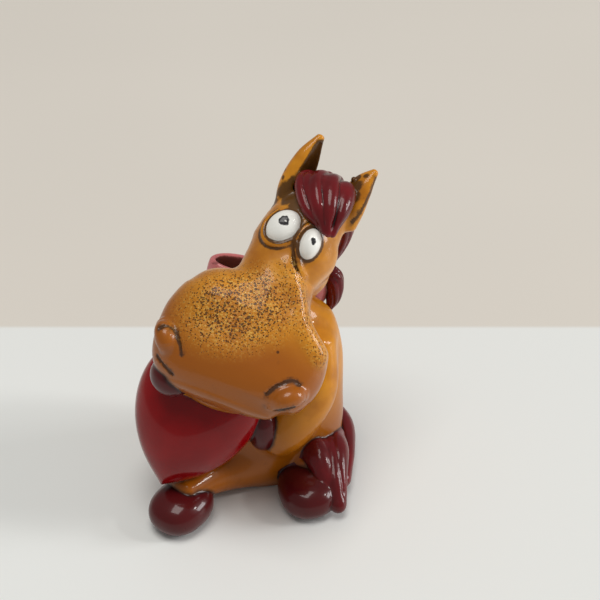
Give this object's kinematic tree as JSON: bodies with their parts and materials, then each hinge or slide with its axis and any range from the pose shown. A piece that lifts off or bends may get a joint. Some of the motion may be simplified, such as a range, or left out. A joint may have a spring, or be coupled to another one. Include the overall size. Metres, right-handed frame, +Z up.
{
  "type": "ceramic horse figurine",
  "caption": "Small glazed ceramic figure of a seated comic horse that hugs a big heart, with a broad muzzle, curled forelock, mane, tail and a bow on its nape.",
  "frame": {"origin": "middle of the figure's floor plan, on the table", "axes": "+Z up through the figure to the ear tips, -Y to the front where the muzzle points, +X to the onlooker's right"},
  "size_m": [0.0504, 0.0448, 0.0757],
  "materials": {
    "ochre_glaze": "glossy ochre underglaze paint with brown wash in the creases",
    "wine_glaze": "glossy wine red paint",
    "red_glaze": "very glossy deep red paint",
    "white_glaze": "glossy white paint with a dark pupil",
    "pink_glaze": "glossy pink paint"
  },
  "bodies": {
    "root": {"ear_left": "ochre_glaze", "ear_right": "ochre_glaze", "eye_left": "white_glaze", "eye_right": "white_glaze", "eyelid_left": "ochre_glaze", "eyelid_right": "ochre_glaze", "fore_hoof_left": "wine_glaze", "fore_hoof_right": "wine_glaze", "foreleg_left": "ochre_glaze", "foreleg_right": "ochre_glaze", "forelock_strand_1": "wine_glaze", "forelock_strand_2": "wine_glaze", "forelock_strand_3": "wine_glaze", "forelock_strand_4": "wine_glaze", "head": "ochre_glaze", "heart": "red_glaze", "hind_hoof_left": "wine_glaze", "hind_hoof_right": "wine_glaze", "hind_leg_left": "ochre_glaze", "hind_leg_right": "ochre_glaze", "lower_lip": "ochre_glaze", "mane_curl": "ochre_glaze", "mane_strand_1": "wine_glaze", "mane_strand_2": "wine_glaze", "mane_strand_3": "wine_glaze", "mane_strand_4": "wine_glaze", "mane_strand_5": "wine_glaze", "nostril_left": "ochre_glaze", "nostril_right": "ochre_glaze", "ribbon_knot": "pink_glaze", "ribbon_loop_left": "pink_glaze", "ribbon_loop_right": "pink_glaze", "tail_strand_1": "wine_glaze", "tail_strand_2": "wine_glaze", "tail_strand_3": "wine_glaze", "torso": "ochre_glaze"}
  },
  "joints": []
}
